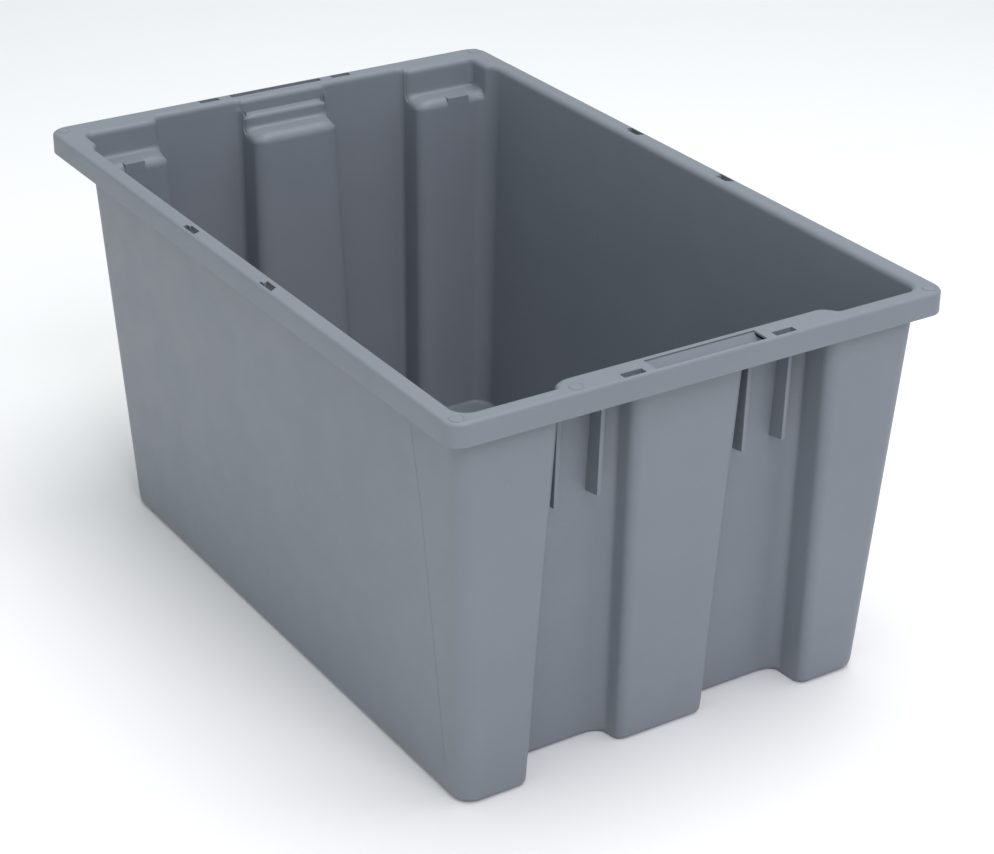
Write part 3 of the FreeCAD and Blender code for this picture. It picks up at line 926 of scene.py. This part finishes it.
def plastic():
    """Satin polyethylene: fine moulded grain, faint flow clouds, light scuffs and handling marks."""
    material = bpy.data.materials.new("moulded_grey_plastic")
    material.use_nodes = True
    tree = material.node_tree
    link = tree.links.new
    shader = tree.nodes["Principled BSDF"]
    place = tree.nodes.new("ShaderNodeTexCoord").outputs["Object"]

    clouds = noise(tree, place, 7.0, 4.0, 0.55)
    blotches = noise(tree, place, 42.0, 3.0, 0.5)
    grain = noise(tree, place, 1500.0, 2.0, 0.6)
    ripple = noise(tree, place, 22.0, 1.0, 0.4)
    long_scuffs = noise(tree, stretched(tree, place, (18, 18, 260), (0.35, 0.5, 0.0)), 4.0, 3.0, 0.6)
    cross_scuffs = noise(tree, stretched(tree, place, (260, 26, 22), (0.2, -0.4, 0.7)), 4.0, 3.0, 0.6)

    colour = ramp(tree, clouds, (0.3, (0.190, 0.211, 0.241)), (0.7, (0.210, 0.230, 0.260)))
    scuffed = tree.nodes.new("ShaderNodeMix")
    scuffed.data_type = "RGBA"
    scuffed.inputs["B"].default_value = (0.27, 0.285, 0.31, 1)
    marks = tree.nodes.new("ShaderNodeMath")
    marks.operation = "MAXIMUM"
    link(remap(tree, long_scuffs, 0.66, 0.74, 0.0, 0.35), marks.inputs[0])
    link(remap(tree, cross_scuffs, 0.68, 0.76, 0.0, 0.35), marks.inputs[1])
    link(marks.outputs["Value"], scuffed.inputs["Factor"])
    link(colour, scuffed.inputs["A"])
    link(scuffed.outputs["Result"], shader.inputs["Base Color"])

    roughness = tree.nodes.new("ShaderNodeMath")
    roughness.operation = "ADD"
    link(remap(tree, blotches, 0.3, 0.7, 0.44, 0.52), roughness.inputs[0])
    link(remap(tree, clouds, 0.3, 0.7, -0.03, 0.03), roughness.inputs[1])
    link(roughness.outputs["Value"], shader.inputs["Roughness"])
    shader.inputs["Specular IOR Level"].default_value = 0.4

    fine = shader_node(tree, "ShaderNodeBump", Strength=0.05, Distance=0.0002)
    link(grain, fine.inputs["Height"])
    broad = shader_node(tree, "ShaderNodeBump", Strength=0.12, Distance=0.002)
    link(ripple, broad.inputs["Height"])
    link(fine.outputs["Normal"], broad.inputs["Normal"])
    link(broad.outputs["Normal"], shader.inputs["Normal"])
    return material


grey = plastic()
for node_name in sorted(set(cells.values()) - {None}):
    moulded_piece(node_name, grey)


# ---------------- ribs, handle trays, small marks


def plain_piece(name, points, faces, nodes=(), bevel=0.0, segments=3):
    """A flat-shaded piece from its points and faces, with its edges rounded by bevel."""
    mesh = bpy.data.meshes.new(name)
    mesh.from_pydata(points, [], faces)
    piece = bpy.data.objects.new(name, mesh)
    if bevel:
        rounding = piece.modifiers.new("rounding", "BEVEL")
        rounding.width, rounding.segments = bevel, segments
    finish_piece(piece, grey, *nodes)


BLOCK_FACES = [(3, 2, 1, 0), (4, 5, 6, 7), (0, 1, 5, 4), (1, 2, 6, 5), (2, 3, 7, 6), (3, 0, 4, 7)]


EDGE_BEVEL = 0.5 * MM
RIB_FRONT_LOW = 266.8 * MM      # from the bin's middle to the foot of a rib's front edge
RIB_RISE = 2.5 * MM             # how much higher the rib's foot is in front than at its root
RIB_ROOT = 1.5 * MM             # how far a rib's root is sunk into the panel


def gusset_rib(number):
    """Thin upright rib that stands out from a recessed panel under the front rim."""
    name = f"front_gusset_rib_{number}"
    start, end = low(name), high(name)
    bottom, top = start.z, end.z
    back_low, back_high = RIB_ROOT - recess_face(bottom), RIB_ROOT - recess_face(top)
    left, right = start.x, end.x
    corners = [(left, -RIB_FRONT_LOW, bottom + RIB_RISE), (right, -RIB_FRONT_LOW, bottom + RIB_RISE),
               (right, back_low, bottom), (left, back_low, bottom),
               (left, start.y, top), (right, start.y, top), (right, back_high, top), (left, back_high, top)]
    plain_piece(f"{name}_moulding", corners, BLOCK_FACES, [name], EDGE_BEVEL)


TRAY_FILLET = 1.5 * MM
TRAY_LIP = 1 * MM               # from the top of the rim down to the tray's inner face
TRAY_FRONT_SKIN = 0.4 * MM
TRAY_SLOPE = 9 * MM             # of the front tray's back wall, over its height


def handle_tray(name, sign, handle_half, inner, slope):
    """Open-topped tray for the fingers under a handle opening, from the rim down.

    Its back wall slopes outward by slope, from its top to its floor. Each of its two faces is
    three rings of four points: the floor inside its fillet, the fillet's end, and the top."""
    floor = low(name).z
    back, front = HALF_LENGTH - inner, HALF_LENGTH - SKIRT_WALL
    shapes = []
    for half, y0, y1, z, top in (
            (handle_half, back, front - TRAY_FRONT_SKIN, floor + TRAY_SKIN, HEIGHT - TRAY_LIP),
            (handle_half + TRAY_SKIN, back - TRAY_SKIN, front, floor, RIM_UNDERSIDE)):
        foot = y0 + slope
        for inset, near, height in ((TRAY_FILLET, foot, z), (0, foot, z + TRAY_FILLET), (0, y0, top)):
            shapes += [(-half + inset, near + inset, height), (half - inset, near + inset, height),
                       (half - inset, y1 - inset, height), (-half + inset, y1 - inset, height)]
    points = [(x, sign * y, z) for x, y, z in shapes]
    outer = len(points) // 2        # number of the outer face's first point
    faces = [(0, 1, 2, 3), (outer + 3, outer + 2, outer + 1, outer)]
    for corner in range(4):
        after = (corner + 1) % 4
        for level in (0, 4):
            base = outer + level
            faces.append((level + after, level + corner, level + 4 + corner, level + 4 + after))
            faces.append((base + corner, base + after, base + 4 + after, base + 4 + corner))
        faces.append((8 + after, 8 + corner, outer + 8 + corner, outer + 8 + after))
    if sign < 0:
        faces = [face[::-1] for face in faces]
    plain_piece(f"{name}_moulding", points, faces, [name], EDGE_BEVEL, 2)


LUG_TOP = LEDGE_TOP - 0.15 * MM
LUG_BOTTOM = LEDGE_TOP - LEDGE_FRONT_RADIUS - MM
LUG_PROUD = 0.05 * MM
LUG_BEVEL = 0.3 * MM
LUG_SPANS = {"right": (141 * MM, 161 * MM), "left": (-153 * MM, -136 * MM)}


def ledge_lug(name, x0, x1):
    """Square lug in the rounded front of a rear corner ledge, flush with the pilaster's face."""
    def corners(z):
        face = recess_face(z) - WALL - LUG_PROUD
        return [(x0, face, z), (x1, face, z), (x1, face + LEDGE_FRONT_RADIUS, z),
                (x0, face + LEDGE_FRONT_RADIUS, z)]
    plain_piece(name, corners(LUG_BOTTOM) + corners(LUG_TOP), BLOCK_FACES, bevel=LUG_BEVEL)


MARK_RADIUS = 5.2 * MM
MARK_HEIGHT = 0.4 * MM
MARK_FLOOR = 0.05 * MM
MARK_SIDES = 40
MARK_RINGS = ((0, -0.5 * MM), (0, MARK_HEIGHT / 2), (0.3 * MM, MARK_HEIGHT), (0.8 * MM, MARK_HEIGHT),
              (1.2 * MM, MARK_FLOOR))   # inset from the radius, and height over the rim
MARK_INSET = 9.5 * MM
INNER_MARK = (-101 * MM, -290 * MM)


def ejector_mark(name, x, y):
    """Faint raised ring round a flat disc, where an ejector pin of the mould has met the rim."""
    points, faces = [], []
    for inset, rise in MARK_RINGS:
        radius = MARK_RADIUS - inset
        for side in range(MARK_SIDES):
            angle = 2 * math.pi * side / MARK_SIDES
            points.append((x + radius * math.cos(angle), y + radius * math.sin(angle), HEIGHT + rise))
    for ring in range(len(MARK_RINGS) - 1):
        for side in range(MARK_SIDES):
            after = (side + 1) % MARK_SIDES
            base = ring * MARK_SIDES
            faces.append((base + side, base + after, base + MARK_SIDES + after, base + MARK_SIDES + side))
    faces.append(tuple(range(MARK_SIDES))[::-1])
    faces.append(tuple(range(len(points) - MARK_SIDES, len(points))))
    plain_piece(name, points, faces)


INSERT_LINE = ((274 * MM, -228 * MM), (215 * MM, -236 * MM), (24 * MM, -250 * MM))  # (z, y)
LINE_HALF, LINE_PROUD, LINE_SUNK = 0.25 * MM, 0.12 * MM, 0.3 * MM


def insert_line(name, sign):
    """Faint witness line of a mould insert down a long wall."""
    points, faces = [], []
    for z, y in INSERT_LINE:
        root, crest = sign * (side_face(z) - LINE_SUNK), sign * (side_face(z) + LINE_PROUD)
        points += [(root, y - LINE_HALF, z), (crest, y - LINE_HALF, z),
                   (crest, y + LINE_HALF, z), (root, y + LINE_HALF, z)]
    for start in (0, 4):
        for corner in range(4):
            after = (corner + 1) % 4
            faces.append((start + corner, start + after, start + 4 + after, start + 4 + corner))
    faces += [(3, 2, 1, 0), (8, 9, 10, 11)]
    if sign > 0:
        faces = [face[::-1] for face in faces]
    plain_piece(name, points, faces)


for rib_number in (1, 2, 3, 4):
    gusset_rib(rib_number)
handle_tray("front_handle_pocket", -1, FRONT_HANDLE_HALF, FRONT_HANDLE_INNER, TRAY_SLOPE)
handle_tray("rear_handle_pocket", 1, REAR_HANDLE_HALF, SLOT_INNER, 0)
for lug_side, lug_span in LUG_SPANS.items():
    ledge_lug(f"rear_{lug_side}_ledge_lug", *lug_span)
ejector_mark("front_left_inner_mark", *INNER_MARK)
for mark_side, mark_x in (("left", -1), ("right", 1)):
    for mark_end, mark_y in (("front", -1), ("rear", 1)):
        ejector_mark(f"rim_{mark_end}_{mark_side}_mark", mark_x * (HALF_WIDTH - MARK_INSET),
                     mark_y * (HALF_LENGTH - MARK_INSET))
    insert_line(f"{mark_side}_wall_insert_line", mark_x)


# ---------------- camera, light and floor


def make_camera():
    data = bpy.data.cameras.new("camera")
    camera = bpy.data.objects.new("camera", data)
    bpy.context.scene.collection.objects.link(camera)
    bpy.context.scene.camera = camera
    yaw, pitch, roll = 0.57284, -0.47756, 0.0116
    camera.location = (-0.8988, -1.4333, 0.9865)
    forward = Vector((math.sin(yaw) * math.cos(pitch), math.cos(yaw) * math.cos(pitch), math.sin(pitch)))
    level = forward.cross(Vector((0, 0, 1))).normalized()
    upright = level.cross(forward)
    right = level * math.cos(roll) + upright * math.sin(roll)
    up = upright * math.cos(roll) - level * math.sin(roll)
    turn = Matrix((right, up, -forward)).transposed()
    camera.rotation_mode = "QUATERNION"
    camera.rotation_quaternion = turn.to_quaternion()
    data.sensor_width = 36.0
    data.lens = 90.8
    data.shift_x, data.shift_y = 0.0034, 0.0148


def make_floor():
    bpy.ops.mesh.primitive_plane_add(size=8, location=(0, 0, -0.0002))
    floor = bpy.context.object
    floor.name = "floor"
    material = bpy.data.materials.new("pale_floor")
    material.use_nodes = True
    tree = material.node_tree
    shader = tree.nodes["Principled BSDF"]
    place = tree.nodes.new("ShaderNodeTexCoord").outputs["Object"]
    clouds = noise(tree, place, 3.0, 3.0, 0.5)
    colour = ramp(tree, clouds, (0, (0.97, 0.96, 0.95)), (1, (0.99, 0.98, 0.97)))
    tree.links.new(colour, shader.inputs["Base Color"])
    shader.inputs["Roughness"].default_value = 0.8
    floor.data.materials.append(material)


def area_light(name, place, target, width, height, power, colour):
    data = bpy.data.lights.new(name, "AREA")
    data.shape, data.size, data.size_y, data.energy, data.color = "RECTANGLE", width, height, power, colour
    light = bpy.data.objects.new(name, data)
    light.location = place
    light.rotation_mode = "QUATERNION"
    light.rotation_quaternion = (Vector(target) - Vector(place)).to_track_quat("-Z", "Y")
    bpy.context.scene.collection.objects.link(light)


def make_light():
    """Soft boxes overhead and high in front, and a low one to the left, in a pale room."""
    world = bpy.data.worlds.new("studio")
    bpy.context.scene.world = world
    world.use_nodes = True
    world.node_tree.nodes["Background"].inputs["Color"].default_value = (0.9, 0.97, 1, 1)
    world.node_tree.nodes["Background"].inputs["Strength"].default_value = 0.6
    area_light("overhead", (0.3, -0.1, 2.4), (0, 0, 0.2), 1.6, 1.6, 30, (1, 1, 1))
    area_light("left", (-2.4, 0.1, 0.45), (0, 0, 0.15), 1.6, 0.7, 2.5, (1, 0.9, 0.75))
    area_light("front", (-0.3, -2.1, 2.3), (0, 0.1, 0.15), 1.6, 1.2, 28, (0.97, 0.91, 1))
    bpy.context.scene.view_settings.view_transform = "Standard"


make_camera()
make_floor()
make_light()
